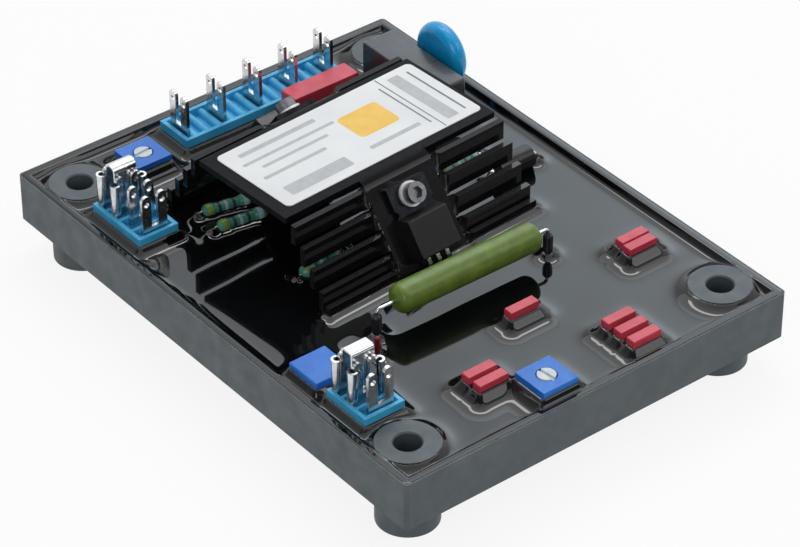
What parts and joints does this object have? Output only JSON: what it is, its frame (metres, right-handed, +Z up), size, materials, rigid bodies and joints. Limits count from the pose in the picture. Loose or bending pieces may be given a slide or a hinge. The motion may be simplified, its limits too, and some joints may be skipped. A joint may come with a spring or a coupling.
{
  "type": "automatic voltage regulator",
  "caption": "Generator voltage regulator potted in a shallow tray on feet, with a louvred heat sink, push-on terminal blocks, trimmers and leaded parts.",
  "frame": {"origin": "middle of the tray in plan, at the soles of the feet", "axes": "+X along the short front wall, the label's reading direction; +Y towards the rear terminal block, along the long side; +Z up, out of the open face of the tray"},
  "size_m": [0.101, 0.1354, 0.0362],
  "materials": {
    "tray_plastic": "fine satin moulding, slate black",
    "board_laminate": "solder-masked laminate",
    "device_plastic": "moulded black epoxy",
    "potting_resin": "glossy cast black resin",
    "sink_black": "black anodised sheet, satin gloss",
    "label_film": "printed plastic film",
    "device_tab_metal": "plated tab",
    "tin": "bright tinned metal",
    "screw_steel": "zinc plated",
    "washer_steel": "bright plated",
    "block_blue": "light blue moulding",
    "trimmer_blue": "royal blue moulding",
    "rotor_white": "off-white moulding",
    "resistor_green": "glazed olive green",
    "coated_lead": "dark resin coating on the legs",
    "sleeve_red": "red sleeving",
    "film_red": "epoxy-filled red case",
    "box_grey": "dark grey case under a skin of resin",
    "varistor_blue": "dipped blue coating",
    "axial_green": "lacquered, with colour rings"
  },
  "bodies": {
    "regulator": {"tray": "tray_plastic", "circuit_board": "board_laminate", "control_chip": "device_plastic", "potting": "potting_resin", "heat_sink": "sink_black", "label": "label_film", "front_device_tab": "device_tab_metal", "front_device_body": "device_plastic", "front_device_leads": "tin", "rear_device_tab": "device_tab_metal", "rear_device_body": "device_plastic", "rear_device_leads": "tin", "device_screws": "screw_steel", "device_washers": "washer_steel", "device_nuts": "screw_steel", "rear_terminal_block": "block_blue", "rear_terminal_tabs": "tin", "left_terminal_block": "block_blue", "left_terminal_tabs": "tin", "left_link": "tin", "front_terminal_block": "block_blue", "front_terminal_tabs": "tin", "front_link": "tin", "rear_trimmer_body": "trimmer_blue", "front_trimmer_body": "trimmer_blue", "sealed_blue_box": "trimmer_blue", "wirewound_body": "resistor_green", "wirewound_leads": "tin", "lead_coats": "coated_lead", "lead_sleeve": "sleeve_red", "large_film_capacitor": "film_red", "right_film_pair": "film_red", "film_row_of_three": "film_red", "front_film_pair": "film_red", "single_film_capacitor": "film_red", "box_capacitor": "box_grey", "varistor_disc": "varistor_blue", "varistor_leads": "tin", "axial_resistor_bodies": "axial_green", "axial_resistor_leads": "tin", "diode_body": "device_plastic", "diode_leads": "tin"},
    "rear_rotor": {"rear_trimmer_rotor": "rotor_white"},
    "front_rotor": {"front_trimmer_rotor": "rotor_white"}
  },
  "joints": [
    {"name": "rear_trimmer_turn", "type": "hinge", "parent": "regulator", "child": "rear_rotor", "pos_m": [-0.0267, 0.0541, 0.022], "axis": [0, 0, 1], "range_deg": [-140, 140]},
    {"name": "front_trimmer_turn", "type": "hinge", "parent": "regulator", "child": "front_rotor", "pos_m": [-0.0088, -0.0605, 0.022], "axis": [0, 0, 1], "range_deg": [-140, 140]}
  ]
}
